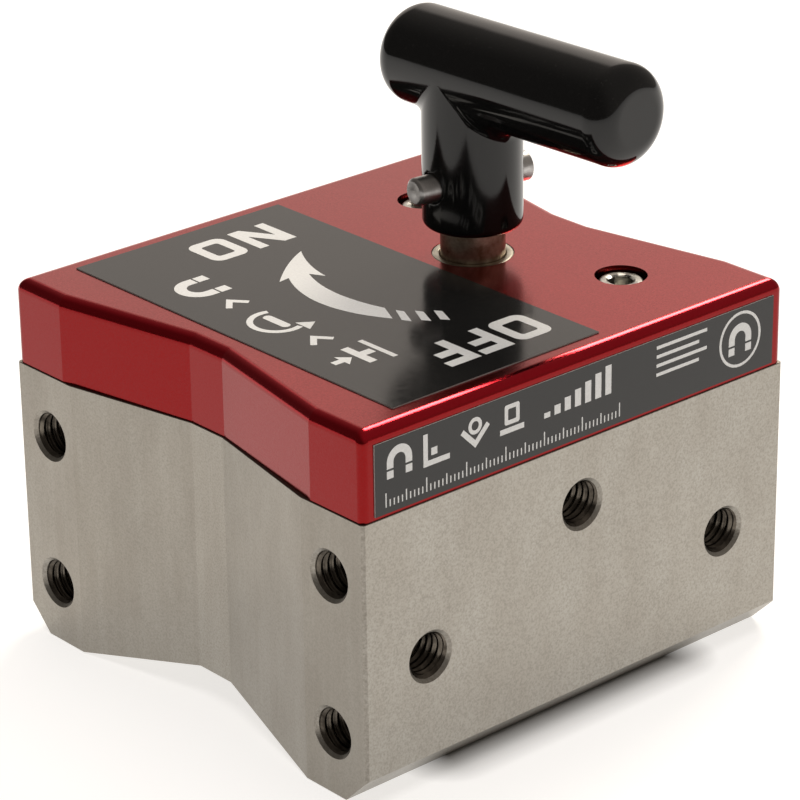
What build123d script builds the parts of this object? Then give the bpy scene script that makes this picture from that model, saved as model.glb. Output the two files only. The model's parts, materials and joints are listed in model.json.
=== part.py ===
from build123d import *
import math
import os

# Switchable magnetic welding square, millimetres, +Z up.
# Origin: centre of the underside. X runs between the two V-grooved ends, -Y is the labelled front.

# ---- driving dimensions ----
LENGTH = 112.0              # X, over the two grooved ends
DEPTH = 106.3               # Y, front to back
HOUSING_H = 59.6            # steel block
COVER_H = 18.1              # aluminium cover
TOP_Z = HOUSING_H + COVER_H

GROOVE_DEPTH = 6.4          # V grooves: both ends and the underside
GROOVE_MOUTH = 71.0
GROOVE_ROOT = 9.6
BASE_CHAMFER = 6.2          # long lower edges, front and back
HOUSING_CORNER = 0.6        # chamfer
EDGE_BREAK = 0.1            # housing's upper rim and cover's lower rim
COVER_INSET = 0.3
COVER_GROOVE_DEPTH = 6.5
COVER_GROOVE_MOUTH = 76.2
COVER_GROOVE_ROOT = 9.9
COVER_CORNER = 1.5
COVER_ROUND = 2.5

# tapped fixture holes, 3/8-16
TAP_R = 4.76
TAP_MOUTH_R = 5.45
TAP_DEPTH = 16.0
END_HOLE_Y = 43.3
END_HOLE_Z = (13.1, 46.1)
SIDE_HOLES_XZ = ((-39.7, 27.2), (39.7, 27.2), (0.0, 46.0))

# two geared rotors
ROTOR_X = 20.5
ROTOR_BORE_R = 19.3
BORE_FLOOR_Z = 9.6
MAGNET_H = 20.0
LOWER_MAGNET_R = 19.2
UPPER_MAGNET_R = 18.9
THRUST_DISC_H = 1.0
RUNNING_GAP = 0.1
MAGNET_KEY_R = 1.5
MAGNET_KEY_H = 18.0
NOTCH_W = 6.0
NOTCH_DEPTH = 3.0
NOTCH_H = 10.0
CARRIER_PLATE_H = 4.0
HUB_R = 11.0
LUG_CLEARANCE = 0.1

GEAR_TEETH = 28
GEAR_MODULE = 2 * ROTOR_X / GEAR_TEETH
GEAR_H = 5.0
GEAR_Z = 60.4
GEAR_BACKLASH = 0.2         # taken off each flank at the pitch circle
PRESSURE_ANGLE = 20.0
GEAR_PIN_R = 1.25
GEAR_POCKET_R = 23.0
GEAR_POCKET_TOP = 67.0

# shaft, lock and spring
SHAFT_R = 6.65
SHAFT_FLAT = 5.2            # half the width over the two flats
SHAFT_BOTTOM_Z = 62.2
SHAFT_FLAT_TOP_Z = 71.4
SHAFT_TOP_Z = 103.0
PUSH_TRAVEL = 4.8
HUB_TOP_Z = 66.4
SPRING_FLOOR_Z = 52.2
SPRING_POCKET_R = 5.2
SPRING_POCKET_TOP_Z = 57.2
SPRING_R = 4.2
SPRING_WIRE_R = 0.35
SPRING_TURNS = 5.5
LOCK_PIN_R = 1.5
LOCK_PIN_HALF = 8.5
LOCK_PIN_Z = 67.5
LOCK_SLOT_W = 3.4
LOCK_PLATE_R = 16.0
LOCK_PLATE_BORE_R = 7.2
LOCK_PLATE_Z = 69.2
LOCK_PLATE_H = 3.0
LOCK_NOTCH_R = 10.0
PLATE_SCREW_R = 1.4
PLATE_SCREW_HEAD_R = 2.7
PLATE_SCREW_L = 6.0
PLATE_SCREW_PCD_R = 13.0

BUSH_R = 8.45
BUSH_BORE_R = 6.70
BUSH_Z = 74.4
SEAL_SECTION_R = (BUSH_R - BUSH_BORE_R) / 2
IDLER_PIN_R = 4.0
IDLER_PIN_Z = (55.5, 72.0)

# cover fasteners, 1/4-20 socket-head cap screws
SCREW_X = 33.4
SCREW_Y = 29.6
SCREW_R = 3.175
SCREW_HEAD_R = 4.76
SCREW_HEAD_H = 6.35
SCREW_SOCKET_AF = 4.76
SCREW_HEAD_TOP_Z = TOP_Z - 1.0
SCREW_LENGTH = 22.0
COUNTERBORE_R = 5.35
CLEARANCE_R = 3.4
DOWEL_R = 2.5
DOWEL_L = 14.0
DOWEL_Z = 52.6
DOWELS_XY = ((-46.0, 24.0), (46.0, -24.0))
CORD_R = 26.2               # centre line of the cover seal, round each rotor
CORD_W = 2.0
CORD_H = 1.6

# T-handle
GRIP_Z = 116.8
GRIP_R = 10.33
GRIP_FRONT = 45.0           # from the shaft's axis to the long end
GRIP_BACK = 18.9
GRIP_END_ROUND = 5.2
GRIP_SKEW = 2.0             # degrees the bar stands off square to the block
STEM_R = 10.26
STEM_Z = 84.2
STEM_ROUND = 1.4
COATING_T = 1.1
HANDLE_PIN_R = 3.175        # large end of the taper pin through the stem, on the right
HANDLE_PIN_TAPER = 1 / 48   # diameter lost along its length
HANDLE_PIN_RIGHT = 13.3     # end faces from the shaft's axis
HANDLE_PIN_LEFT = 14.5
HANDLE_PIN_TURN = 7.0       # degrees the pin is turned, its left end back
HANDLE_PIN_Z = 93.7

# labels
LABEL_T = 0.25
TOP_LABEL_X = (-43.8, 9.1)
TOP_LABEL_D = 96.0
SIDE_LABEL_L = 105.6
SIDE_LABEL_Z = (60.3, 74.8)


# ---- small helpers ----
def disc(r, z0, z1, x=0.0, y=0.0):
    """Upright cylinder between two heights."""
    return Pos(x, y, (z0 + z1) / 2) * Cylinder(r, z1 - z0)


def block(x0, x1, y0, y1, z0, z1):
    """Box between two corners."""
    return Pos((x0 + x1) / 2, (y0 + y1) / 2, (z0 + z1) / 2) * Box(x1 - x0, y1 - y0, z1 - z0)


def grooved_outline(half_x, half_y, groove_mouth, groove_root, groove_depth):
    """Plan outline with a V groove in each X end."""
    mouth, root = groove_mouth / 2, groove_root / 2
    right = [(half_x, -half_y), (half_x, -mouth), (half_x - groove_depth, -root)]
    right += [(x, -y) for x, y in reversed(right)]
    left = [(-x, y) for x, y in reversed(right)]
    return make_face(Polyline(*right, *left, close=True))


def upright_edges(shape, half_x, half_y):
    """The four vertical edges at the outer corners."""
    return [e for e in shape.edges().filter_by(Axis.Z)
            if abs(e.center().X) > half_x - 0.01 and abs(e.center().Y) > half_y - 0.01]


def rim(shape, end):
    """Outer edges of the lowest face (end 0) or the highest one (end -1)."""
    return shape.faces().sort_by(Axis.Z)[end].outer_wire().edges()


def ridge_along_x(points):
    """Prism along X, longer than the housing, from a Y-Z outline."""
    length = LENGTH + 2
    return Pos(-length / 2, 0, 0) * extrude(Plane.YZ * make_face(Polyline(*points, close=True)), length)


def tapped_hole():
    """Cutter along +Z into the part: countersunk mouth at z = 0, thread wall, drill point."""
    mouth = TAP_MOUTH_R - TAP_R
    point = TAP_R * math.tan(math.radians(31))
    profile = Polyline((0, -1), (TAP_MOUTH_R + 1, -1), (TAP_R, mouth), (TAP_R, TAP_DEPTH),
                       (0, TAP_DEPTH + point), close=True)
    return revolve(Plane.XZ * make_face(profile), Axis.Z)


def rotor_bores(r, z0, z1):
    return disc(r, z0, z1, -ROTOR_X) + disc(r, z0, z1, ROTOR_X)


def screw_places():
    return [(sx * SCREW_X, sy * SCREW_Y) for sx in (-1, 1) for sy in (-1, 1)]


def cord_track(half_width, z0, z1):
    """Stadium-shaped ring round both rotors."""
    rings = []
    for r in (CORD_R + half_width, CORD_R - half_width):
        rings.append(rotor_bores(r, z0, z1) + block(-ROTOR_X, ROTOR_X, -r, r, z0, z1))
    return rings[0] - rings[1]


# ---- steel housing ----
def housing():
    hx, hy = LENGTH / 2, DEPTH / 2
    body = extrude(grooved_outline(hx, hy, GROOVE_MOUTH, GROOVE_ROOT, GROOVE_DEPTH), HOUSING_H)
    body = chamfer(upright_edges(body, hx, hy), HOUSING_CORNER)
    body = chamfer(rim(body, -1), EDGE_BREAK)
    mouth, root = GROOVE_MOUTH / 2, GROOVE_ROOT / 2
    body -= ridge_along_x([(-mouth - 1, -1), (-mouth, 0), (-root, GROOVE_DEPTH),
                           (root, GROOVE_DEPTH), (mouth, 0), (mouth + 1, -1)])
    for side in (-1, 1):
        edge = side * hy
        body -= ridge_along_x([(edge - side * BASE_CHAMFER, 0), (edge, BASE_CHAMFER),
                               (edge + side * 2, BASE_CHAMFER), (edge + side * 2, -2),
                               (edge - side * BASE_CHAMFER, -2)])
    body -= rotor_bores(ROTOR_BORE_R, BORE_FLOOR_Z, HOUSING_H + 1)
    for side in (-1, 1):
        key_x = side * (ROTOR_X + ROTOR_BORE_R)
        body -= disc(MAGNET_KEY_R, BORE_FLOOR_Z, HOUSING_H + 1, key_x)
        for z in END_HOLE_Z:
            for y in (-END_HOLE_Y, END_HOLE_Y):
                body -= Pos(side * hx, y, z) * Rot(0, -90 * side, 0) * tapped_hole()
        for x, z in SIDE_HOLES_XZ:
            body -= Pos(x, side * hy, z) * Rot(90 * side, 0, 0) * tapped_hole()
    screw_end = SCREW_HEAD_TOP_Z - SCREW_HEAD_H - SCREW_LENGTH
    for x, y in screw_places():
        body -= disc(SCREW_R + 0.025, screw_end - 3, HOUSING_H + 1, x, y)
    for x, y in DOWELS_XY:
        body -= disc(DOWEL_R, DOWEL_Z, HOUSING_H + 1, x, y)
    return body


# ---- aluminium cover and what is fixed to it ----
def cover():
    hx, hy = LENGTH / 2 - COVER_INSET, DEPTH / 2 - COVER_INSET
    outline = grooved_outline(hx, hy, COVER_GROOVE_MOUTH, COVER_GROOVE_ROOT, COVER_GROOVE_DEPTH)
    lid = Pos(0, 0, HOUSING_H) * extrude(outline, COVER_H)
    lid = fillet(upright_edges(lid, hx, hy), COVER_CORNER)
    lid = fillet(rim(lid, -1), COVER_ROUND)
    lid = chamfer(rim(lid, 0), EDGE_BREAK)
    plate_top = LOCK_PLATE_Z + LOCK_PLATE_H
    lid -= rotor_bores(GEAR_POCKET_R, HOUSING_H - 1, GEAR_POCKET_TOP)
    lid -= disc(LOCK_PLATE_R + 0.2, GEAR_POCKET_TOP - 1, plate_top, ROTOR_X)
    lid -= disc(BUSH_R, plate_top - 1, TOP_Z + 1, ROTOR_X)
    lid -= disc(IDLER_PIN_R, GEAR_POCKET_TOP - 1, IDLER_PIN_Z[1], -ROTOR_X)
    lid -= cord_track(CORD_W / 2, HOUSING_H - 1, HOUSING_H + CORD_H)
    for x, y in plate_screw_places():
        lid -= disc(PLATE_SCREW_R, plate_top - 1, LOCK_PLATE_Z + PLATE_SCREW_L, x, y)
    head_z = SCREW_HEAD_TOP_Z - SCREW_HEAD_H
    for x, y in screw_places():
        lid -= disc(CLEARANCE_R, HOUSING_H - 1, head_z + 1, x, y)
        lid -= disc(COUNTERBORE_R, head_z, TOP_Z + 1, x, y)
    for x, y in DOWELS_XY:
        lid -= disc(DOWEL_R, HOUSING_H - 1, DOWEL_Z + DOWEL_L, x, y)
    return lid


def cover_screws():
    shank = SCREW_HEAD_TOP_Z - SCREW_HEAD_H
    screws = []
    for x, y in screw_places():
        head = disc(SCREW_HEAD_R, shank, SCREW_HEAD_TOP_Z)
        head = chamfer(head.edges().sort_by(Axis.Z)[-1], 0.4)
        socket = extrude(RegularPolygon(SCREW_SOCKET_AF / 2, 6, major_radius=False), -3.3)
        head -= Pos(0, 0, SCREW_HEAD_TOP_Z) * socket
        body = disc(SCREW_R, shank - SCREW_LENGTH, shank)
        body = chamfer(body.edges().sort_by(Axis.Z)[0], 0.5)
        screws.append(Pos(x, y, 0) * (head + body))
    return Compound(children=screws)


def cover_dowels():
    dowels = []
    for x, y in DOWELS_XY:
        dowel = disc(DOWEL_R, DOWEL_Z, DOWEL_Z + DOWEL_L, x, y)
        dowels.append(chamfer(dowel.edges().filter_by(GeomType.CIRCLE), 0.4))
    return Compound(children=dowels)


def cover_seal():
    return cord_track(CORD_W / 2 - 0.1, HOUSING_H, HOUSING_H + CORD_H - 0.1)


def shaft_bush():
    bush = disc(BUSH_R, BUSH_Z, TOP_Z, ROTOR_X) - disc(BUSH_BORE_R, BUSH_Z - 1, TOP_Z + 1, ROTOR_X)
    mouth = bush.edges().filter_by(GeomType.CIRCLE).filter_by(lambda e: e.center().Z > TOP_Z - 0.01)
    return chamfer(mouth.sort_by(lambda e: e.radius)[0], 0.4)


def shaft_seal():
    centre = (BUSH_R + BUSH_BORE_R) / 2
    middle = (LOCK_PLATE_Z + LOCK_PLATE_H + BUSH_Z) / 2
    return Pos(ROTOR_X, 0, middle) * Torus(centre, SEAL_SECTION_R)


def plate_screw_places():
    angles = [math.radians(a) for a in (30, 150, 270)]
    return [(ROTOR_X + PLATE_SCREW_PCD_R * math.cos(a), PLATE_SCREW_PCD_R * math.sin(a)) for a in angles]


def countersink(r_shank, r_head, z):
    """Flat-head seat facing down, its mouth at z."""
    return Pos(0, 0, z + (r_head - r_shank) / 2) * Cone(r_head, r_shank, r_head - r_shank)


def lock_plate():
    top = LOCK_PLATE_Z + LOCK_PLATE_H
    plate = disc(LOCK_PLATE_R, LOCK_PLATE_Z, top) - disc(LOCK_PLATE_BORE_R, LOCK_PLATE_Z - 1, top + 1)
    plate -= block(-LOCK_NOTCH_R, LOCK_NOTCH_R, -LOCK_SLOT_W / 2, LOCK_SLOT_W / 2,
                   LOCK_PLATE_Z - 1, top + 1)
    plate = Pos(ROTOR_X, 0, 0) * plate
    for x, y in plate_screw_places():
        plate -= disc(PLATE_SCREW_R, LOCK_PLATE_Z - 1, top + 1, x, y)
        plate -= Pos(x, y, 0) * countersink(PLATE_SCREW_R, PLATE_SCREW_HEAD_R, LOCK_PLATE_Z)
    return plate


def lock_plate_screws():
    screws = []
    for x, y in plate_screw_places():
        screw = disc(PLATE_SCREW_R, LOCK_PLATE_Z, LOCK_PLATE_Z + PLATE_SCREW_L - 0.4)
        screw += countersink(PLATE_SCREW_R, PLATE_SCREW_HEAD_R, LOCK_PLATE_Z)
        drive = block(-PLATE_SCREW_HEAD_R, PLATE_SCREW_HEAD_R, -0.35, 0.35,
                      LOCK_PLATE_Z - 1, LOCK_PLATE_Z + 0.7)
        screws.append(Pos(x, y, 0) * (screw - drive))
    return Compound(children=screws)


def idler_pin():
    pin = disc(IDLER_PIN_R, *IDLER_PIN_Z, -ROTOR_X)
    return chamfer(pin.edges().filter_by(GeomType.CIRCLE), 0.5)


# ---- fixed magnets and thrust discs ----
def lower_magnet(side):
    top = BORE_FLOOR_Z + MAGNET_H
    magnet = disc(LOWER_MAGNET_R, BORE_FLOOR_Z, top, side * ROTOR_X)
    magnet -= disc(MAGNET_KEY_R, BORE_FLOOR_Z - 1, top + 1, side * (ROTOR_X + ROTOR_BORE_R))
    return magnet


def magnet_keys():
    x = ROTOR_X + ROTOR_BORE_R
    return Compound(children=[disc(MAGNET_KEY_R, BORE_FLOOR_Z, BORE_FLOOR_Z + MAGNET_KEY_H, side * x)
                              for side in (-1, 1)])


def thrust_discs():
    z = BORE_FLOOR_Z + MAGNET_H
    return Compound(children=[disc(UPPER_MAGNET_R, z, z + THRUST_DISC_H, side * ROTOR_X)
                              for side in (-1, 1)])


UPPER_MAGNET_Z = BORE_FLOOR_Z + MAGNET_H + THRUST_DISC_H + RUNNING_GAP
CARRIER_Z = UPPER_MAGNET_Z + MAGNET_H
HUB_Z = CARRIER_Z + CARRIER_PLATE_H


# ---- turning rotors ----
def upper_magnet(side):
    magnet = disc(UPPER_MAGNET_R, UPPER_MAGNET_Z, CARRIER_Z)
    for end in (-1, 1):
        inner, outer = end * (UPPER_MAGNET_R - NOTCH_DEPTH), end * (UPPER_MAGNET_R + 1)
        magnet -= block(min(inner, outer), max(inner, outer), -NOTCH_W / 2, NOTCH_W / 2,
                        CARRIER_Z - NOTCH_H, CARRIER_Z + 1)
    return Pos(side * ROTOR_X, 0, 0) * magnet


def carrier_blank():
    """Plate with two lugs that drop into the magnet's notches, and a hub that takes the gear."""
    blank = disc(UPPER_MAGNET_R, CARRIER_Z, HUB_Z)
    lug_r = UPPER_MAGNET_R - NOTCH_DEPTH + LUG_CLEARANCE
    half = NOTCH_W / 2 - LUG_CLEARANCE
    ring = disc(UPPER_MAGNET_R, CARRIER_Z - NOTCH_H + LUG_CLEARANCE, CARRIER_Z)
    ring &= block(-UPPER_MAGNET_R, UPPER_MAGNET_R, -half, half, CARRIER_Z - NOTCH_H, CARRIER_Z)
    ring -= block(-lug_r, lug_r, -half - 1, half + 1, CARRIER_Z - NOTCH_H - 1, CARRIER_Z)
    blank += ring
    blank += disc(HUB_R, HUB_Z, HUB_TOP_Z)
    return blank - disc(GEAR_PIN_R, GEAR_Z, HUB_TOP_Z + 1, 0, HUB_R)


def drive_carrier():
    carrier = carrier_blank()
    carrier -= disc(SPRING_POCKET_R, SPRING_FLOOR_Z, SPRING_POCKET_TOP_Z + 0.1)
    flats = SHAFT_FLAT + 0.1
    bore = disc(SHAFT_R + 0.15, SPRING_POCKET_TOP_Z, HUB_TOP_Z + 1)
    bore &= block(-HUB_R, HUB_R, -flats, flats, SPRING_POCKET_TOP_Z, HUB_TOP_Z + 1)
    carrier -= bore
    slot = LOCK_PIN_HALF + 0.4
    slot_floor = LOCK_PIN_Z - LOCK_PIN_R - PUSH_TRAVEL - 0.2
    carrier -= block(-slot, slot, -LOCK_SLOT_W / 2, LOCK_SLOT_W / 2, slot_floor, HUB_TOP_Z + 1)
    return Pos(ROTOR_X, 0, 0) * carrier


def idler_carrier():
    carrier = carrier_blank() - disc(IDLER_PIN_R + 0.06, IDLER_PIN_Z[0] - 0.5, HUB_TOP_Z + 1)
    return Pos(-ROTOR_X, 0, 0) * carrier


def spur_gear(first_tooth_angle):
    """External involute gear round the origin, bored for the carrier's hub."""
    pitch_r = GEAR_MODULE * GEAR_TEETH / 2
    tip_r = pitch_r + GEAR_MODULE
    root_r = pitch_r - 1.25 * GEAR_MODULE
    base_r = pitch_r * math.cos(math.radians(PRESSURE_ANGLE))

    def involute(r):
        """Angle swept by the involute from the base circle out to radius r."""
        t = math.sqrt(max(0.0, (r / base_r) ** 2 - 1))
        return t - math.atan(t)

    half_pitch_angle = math.pi / (2 * GEAR_TEETH) - GEAR_BACKLASH / pitch_r
    radii = [base_r + (tip_r - base_r) * k / 4 for k in range(5)]

    def flank(side, centre):
        angles = [side * (half_pitch_angle + involute(pitch_r) - involute(r)) for r in radii]
        return [(r * math.cos(centre + a), r * math.sin(centre + a)) for r, a in zip(radii, angles)]

    def polar(r, a):
        return (r * math.cos(a), r * math.sin(a))

    step = 2 * math.pi / GEAR_TEETH
    root_half = half_pitch_angle + involute(pitch_r)
    edges = []
    for n in range(GEAR_TEETH):
        centre = math.radians(first_tooth_angle) + n * step
        rising = flank(-1, centre)
        falling = flank(1, centre)
        foot_in, foot_out = polar(root_r, centre - root_half), polar(root_r, centre + root_half)
        edges.append(Line(foot_in, rising[0]))
        edges.append(Spline(*rising))
        edges.append(ThreePointArc(rising[-1], polar(tip_r, centre), falling[-1]))
        edges.append(Spline(*reversed(falling)))
        edges.append(Line(falling[0], foot_out))
        next_foot = polar(root_r, centre + step - root_half)
        edges.append(ThreePointArc(foot_out, polar(root_r, centre + step / 2), next_foot))
    blank = Pos(0, 0, GEAR_Z) * extrude(make_face(edges), GEAR_H)
    return blank - disc(HUB_R, GEAR_Z - 1, GEAR_Z + GEAR_H + 1) \
        - disc(GEAR_PIN_R, GEAR_Z - 1, GEAR_Z + GEAR_H + 1, 0, HUB_R)


def gear_pin(side):
    return disc(GEAR_PIN_R, GEAR_Z, GEAR_Z + GEAR_H, side * ROTOR_X, HUB_R)


def return_spring():
    height = SHAFT_BOTTOM_Z - SPRING_FLOOR_Z - 2 * SPRING_WIRE_R
    path = Helix(pitch=height / SPRING_TURNS, height=height, radius=SPRING_R)
    section = Plane(origin=path @ 0, z_dir=path % 0) * Circle(SPRING_WIRE_R)
    return Pos(ROTOR_X, 0, SPRING_FLOOR_Z + SPRING_WIRE_R) * sweep(section, path=path)


# ---- shaft and T-handle ----
def shaft():
    rod = disc(SHAFT_R, SHAFT_BOTTOM_Z, SHAFT_TOP_Z)
    rod = chamfer(rod.edges().filter_by(GeomType.CIRCLE), 0.5)
    for side in (-1, 1):
        near, far = side * SHAFT_FLAT, side * (SHAFT_R + 1)
        rod -= block(-SHAFT_R - 1, SHAFT_R + 1, min(near, far), max(near, far),
                     SHAFT_BOTTOM_Z - 1, SHAFT_FLAT_TOP_Z)
    rod -= Pos(0, 0, LOCK_PIN_Z) * Rot(0, 90, 0) * Cylinder(LOCK_PIN_R, 3 * SHAFT_R)
    rod -= taper_pin()
    return Pos(ROTOR_X, 0, 0) * rod


def lock_pin():
    pin = Pos(ROTOR_X, 0, LOCK_PIN_Z) * Rot(0, 90, 0) * Cylinder(LOCK_PIN_R, 2 * LOCK_PIN_HALF)
    return chamfer(pin.edges().filter_by(GeomType.CIRCLE), 0.3)


def taper_pin(left_chamfer=0, right_chamfer=0, clearance=0):
    length = HANDLE_PIN_LEFT + HANDLE_PIN_RIGHT
    small = HANDLE_PIN_R - length * HANDLE_PIN_TAPER / 2
    pin = Cone(small + clearance, HANDLE_PIN_R + clearance, length)
    ends = pin.edges().filter_by(GeomType.CIRCLE).sort_by(Axis.Z)
    if left_chamfer:
        pin = chamfer(ends[0], left_chamfer)
    if right_chamfer:
        ends = pin.edges().filter_by(GeomType.CIRCLE).sort_by(Axis.Z)
        pin = chamfer(ends[-1], right_chamfer)
    middle = Pos((HANDLE_PIN_RIGHT - HANDLE_PIN_LEFT) / 2, 0, 0)
    return Pos(0, 0, HANDLE_PIN_Z) * Rot(0, 0, -HANDLE_PIN_TURN) * middle * Rot(0, 90, 0) * pin


def handle_pin():
    return Pos(ROTOR_X, 0, 0) * taper_pin(left_chamfer=0.55, right_chamfer=0.3)


def tee(inset, end_round, stem_round):
    """Bar along Y with rounded ends on an upright stem, inset all round by one thickness."""
    length = GRIP_FRONT + GRIP_BACK - 2 * inset
    middle = (GRIP_BACK - GRIP_FRONT) / 2
    bar = Pos(0, middle, GRIP_Z) * Rot(90, 0, 0) * Cylinder(GRIP_R - inset, length)
    bar = Rot(0, 0, GRIP_SKEW) * fillet(bar.edges().filter_by(GeomType.CIRCLE), end_round)
    stem = disc(STEM_R - inset, STEM_Z + inset, GRIP_Z)
    stem = fillet(stem.edges().sort_by(Axis.Z)[0], stem_round)
    return bar + stem


def handle_core():
    core = tee(COATING_T, GRIP_END_ROUND - COATING_T, 0.4)
    core -= disc(SHAFT_R + 0.05, STEM_Z - 1, SHAFT_TOP_Z + 0.5)
    core -= taper_pin()
    return Pos(ROTOR_X, 0, 0) * core


def handle_coating():
    skin = tee(0, GRIP_END_ROUND, STEM_ROUND) - tee(COATING_T, GRIP_END_ROUND - COATING_T, 0.4)
    skin -= disc(SHAFT_R + 0.35, STEM_Z - 1, STEM_Z + COATING_T + 1)
    skin -= taper_pin(clearance=0.15)
    return Pos(ROTOR_X, 0, 0) * skin


# ---- labels ----
def top_label():
    half = TOP_LABEL_D / 2
    return block(*TOP_LABEL_X, -half, half, TOP_Z, TOP_Z + LABEL_T)


def side_label():
    face_y = -(DEPTH / 2 - COVER_INSET)
    return block(-SIDE_LABEL_L / 2, SIDE_LABEL_L / 2, face_y - LABEL_T, face_y, *SIDE_LABEL_Z)


NODES = {
    "housing": housing(),
    "cover": cover(),
    "cover_screws": cover_screws(),
    "cover_dowels": cover_dowels(),
    "cover_seal": cover_seal(),
    "shaft_bush": shaft_bush(),
    "shaft_seal": shaft_seal(),
    "lock_plate": lock_plate(),
    "lock_plate_screws": lock_plate_screws(),
    "idler_pin": idler_pin(),
    "lower_magnet_right": lower_magnet(1),
    "lower_magnet_left": lower_magnet(-1),
    "magnet_keys": magnet_keys(),
    "thrust_discs": thrust_discs(),
    "top_label": top_label(),
    "side_label": side_label(),
    "upper_magnet_right": upper_magnet(1),
    "drive_carrier": drive_carrier(),
    "drive_gear": Pos(ROTOR_X, 0, 0) * spur_gear(180.0),
    "drive_gear_pin": gear_pin(1),
    "return_spring": return_spring(),
    "upper_magnet_left": upper_magnet(-1),
    "idler_carrier": idler_carrier(),
    "idler_gear": Pos(-ROTOR_X, 0, 0) * spur_gear(180.0 / GEAR_TEETH),
    "idler_gear_pin": gear_pin(-1),
    "shaft": shaft(),
    "lock_pin": lock_pin(),
    "handle_core": handle_core(),
    "handle_coating": handle_coating(),
    "handle_pin": handle_pin(),
}

os.makedirs("parts", exist_ok=True)
for name, shape in NODES.items():
    export_step(shape, f"parts/{name}.step")
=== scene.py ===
import json
import math

import bmesh
import bpy
import numpy as np
from mathutils import Matrix, Vector


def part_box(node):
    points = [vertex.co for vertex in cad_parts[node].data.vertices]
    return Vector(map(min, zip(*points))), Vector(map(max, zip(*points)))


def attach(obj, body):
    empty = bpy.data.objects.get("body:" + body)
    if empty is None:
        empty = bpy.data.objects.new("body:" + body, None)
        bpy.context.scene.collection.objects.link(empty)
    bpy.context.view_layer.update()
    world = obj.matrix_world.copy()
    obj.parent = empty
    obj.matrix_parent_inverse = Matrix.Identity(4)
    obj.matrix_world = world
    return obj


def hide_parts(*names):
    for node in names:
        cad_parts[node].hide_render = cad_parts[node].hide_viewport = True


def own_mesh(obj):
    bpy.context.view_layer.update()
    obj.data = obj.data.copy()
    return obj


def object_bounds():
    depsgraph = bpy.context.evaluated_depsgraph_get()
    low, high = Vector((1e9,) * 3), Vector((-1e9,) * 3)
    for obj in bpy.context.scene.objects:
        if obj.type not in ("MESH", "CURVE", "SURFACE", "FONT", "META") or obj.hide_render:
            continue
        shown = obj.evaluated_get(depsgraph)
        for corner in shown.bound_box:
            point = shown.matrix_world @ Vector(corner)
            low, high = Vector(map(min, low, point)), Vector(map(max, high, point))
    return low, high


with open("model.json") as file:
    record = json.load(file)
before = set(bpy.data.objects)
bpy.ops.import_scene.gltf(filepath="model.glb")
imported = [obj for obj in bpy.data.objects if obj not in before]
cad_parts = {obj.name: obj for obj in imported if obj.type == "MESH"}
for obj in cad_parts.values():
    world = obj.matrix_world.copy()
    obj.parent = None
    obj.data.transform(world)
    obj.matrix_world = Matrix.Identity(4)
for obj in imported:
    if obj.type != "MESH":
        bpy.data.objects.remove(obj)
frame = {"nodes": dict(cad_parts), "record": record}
CAD_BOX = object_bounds()
NODES = frame["nodes"]
MOUNTS = frame["record"]["mounts"]
MM = 0.001

# ---- places read from the frame, in metres ----
HOUSING_LOW, HOUSING_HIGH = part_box("housing")
TOP_LABEL_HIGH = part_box("top_label")[1]
SIDE_LABEL_LOW, SIDE_LABEL_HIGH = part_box("side_label")
BUSH_LOW, BUSH_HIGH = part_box("shaft_bush")
PIN_LOW, PIN_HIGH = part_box("handle_pin")
SHAFT_LOW, SHAFT_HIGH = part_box("shaft")
SCREWS_LOW, SCREWS_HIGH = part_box("cover_screws")
SPRING_LOW, SPRING_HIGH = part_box("return_spring")
GRIP_LOW, GRIP_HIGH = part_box("handle_coating")
SHAFT_AXIS = (BUSH_LOW + BUSH_HIGH) / 2
SHAFT_RADIUS = (SHAFT_HIGH.x - SHAFT_LOW.x) / 2
PIN_LEVEL = (PIN_LOW.z + PIN_HIGH.z) / 2
X_WAY, Y_WAY, Z_WAY = Vector((1, 0, 0)), Vector((0, 1, 0)), Vector((0, 0, 1))

# ---- handle, in millimetres from the shaft's axis ----
GRIP_R = 10.33
GRIP_SKEW = math.radians(2.0)
GRIP_END_ROUND = 5.2
STEM_R = 10.26
STEM_ROUND = 1.4
JOINT_BLEND = 3.0           # how widely the dipped skin bridges bar and stem
SKIN_T = 1.1
SKIN_VOXEL = 0.42
STEM_BORE_GAP = 0.35        # between the shaft and the skin at the stem's foot
STEM_BORE_DEPTH = 1.6
PIN_RECESS_ROUND = 0.5
STEM_BORE_ROUND = 0.3

# ---- taper pin across the stem, in millimetres from the shaft's axis ----
CROSS_PIN_R = 3.175
CROSS_PIN_TAPER = 1 / 96    # radius lost along its length
CROSS_PIN_RIGHT = 13.3
CROSS_PIN_LEFT = 14.5
CROSS_PIN_TURN = math.radians(7.0)
CROSS_PIN_GAP = 0.12
PIN_WAY = Vector((math.cos(CROSS_PIN_TURN), -math.sin(CROSS_PIN_TURN), 0))

# ---- cap screws, in millimetres ----
SCREW_HEAD_R = 4.70
SCREW_HEAD_H = 6.35
SCREW_SHANK_R = 3.1
SCREW_SOCKET = 4.76
SCREW_PLACE_INSET = 4.76    # from the outline of the four heads in the CAD to a screw's axis
SCREW_TURNS = ((1, 1, 0.2), (1, -1, 0.75), (-1, 1, 0.5), (-1, -1, 0.9))    # (side X, side Y, turn)
SCREW_SIDES = 144

# ---- bush and return spring, in millimetres ----
BUSH_GAP = 0.10             # between the shaft and the bush
BUSH_SIDES = 128
SPRING_WIRE_R = 0.35
SPRING_TURNS = 5.5
SPRING_STEPS = 48           # along each turn
SPRING_SIDES = 14           # round the wire

# ---- 3/8-16 thread in the tapped holes, in millimetres ----
THREAD_PITCH = 25.4 / 16
THREAD_CREST_R = 4.02
THREAD_ROOT_R = 4.70
THREAD_WALL_R = 4.757
THREAD_START = 0.70
THREAD_END = 13.5
MOUTH_R = 5.45
THREAD_SIDES = 48

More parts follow.
